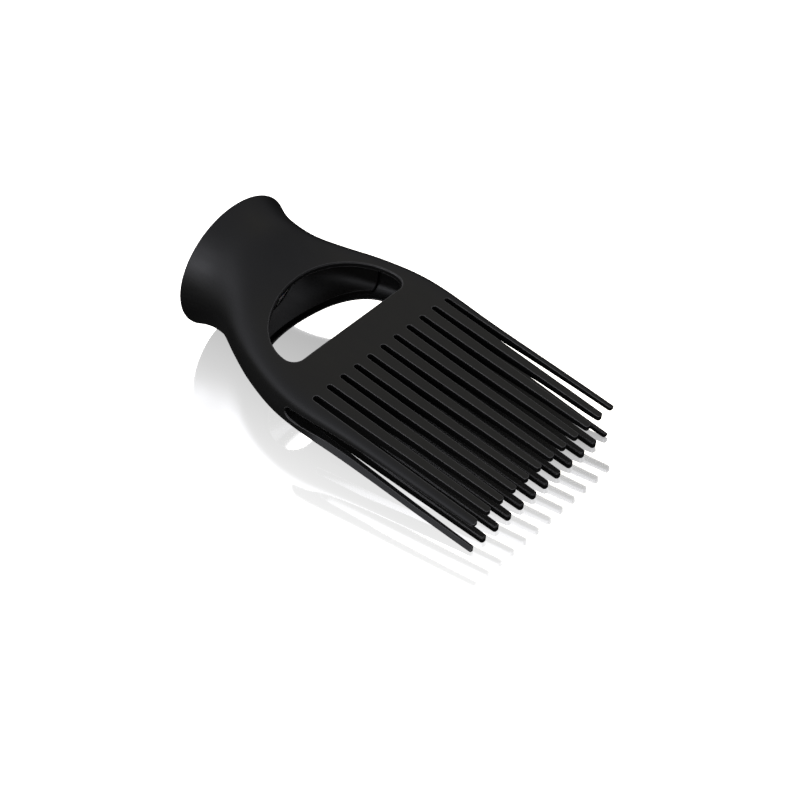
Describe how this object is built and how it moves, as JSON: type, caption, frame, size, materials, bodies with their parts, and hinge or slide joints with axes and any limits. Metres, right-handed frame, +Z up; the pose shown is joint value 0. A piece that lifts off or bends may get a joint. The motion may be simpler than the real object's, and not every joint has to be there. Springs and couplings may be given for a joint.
{
  "type": "hair dryer comb nozzle",
  "caption": "Push-on hair dryer nozzle: a round flared socket with a turning collar, a waisted neck and a wide flat body with two rows of comb teeth and a D-shaped window.",
  "frame": {"origin": "centre of the barrel bore at its open end, where the collar begins", "axes": "+Z up as the nozzle rests on a table on the bottom of its rim and its lower tooth tips; +X level, towards the tooth tips, so that the nozzle's own axis points along +X and dips by 7.5 degrees; +Y across the teeth"},
  "size_m": [0.1594, 0.085, 0.0572],
  "materials": {
    "shell_plastic": "satin black, heat-resistant moulding",
    "sleeve_plastic": "fine matt black",
    "collar_plastic": "matt black",
    "silicone": "dull dark grey",
    "spring_steel": "blackened spring steel",
    "washer_plastic": "natural low-friction plastic"
  },
  "bodies": {
    "comb_body": {"upper_shell": "shell_plastic", "lower_shell": "shell_plastic", "air_duct_sleeve": "sleeve_plastic", "collar_snap_ring": "spring_steel", "swivel_washer": "washer_plastic"},
    "barrel_collar": {"barrel_collar": "collar_plastic", "barrel_grip_ring": "silicone"}
  },
  "joints": [
    {"name": "collar_swivel", "type": "hinge", "parent": "comb_body", "child": "barrel_collar", "pos_m": [0, 0, 0], "axis": [0.9915, 0, -0.1303], "continuous": true}
  ]
}
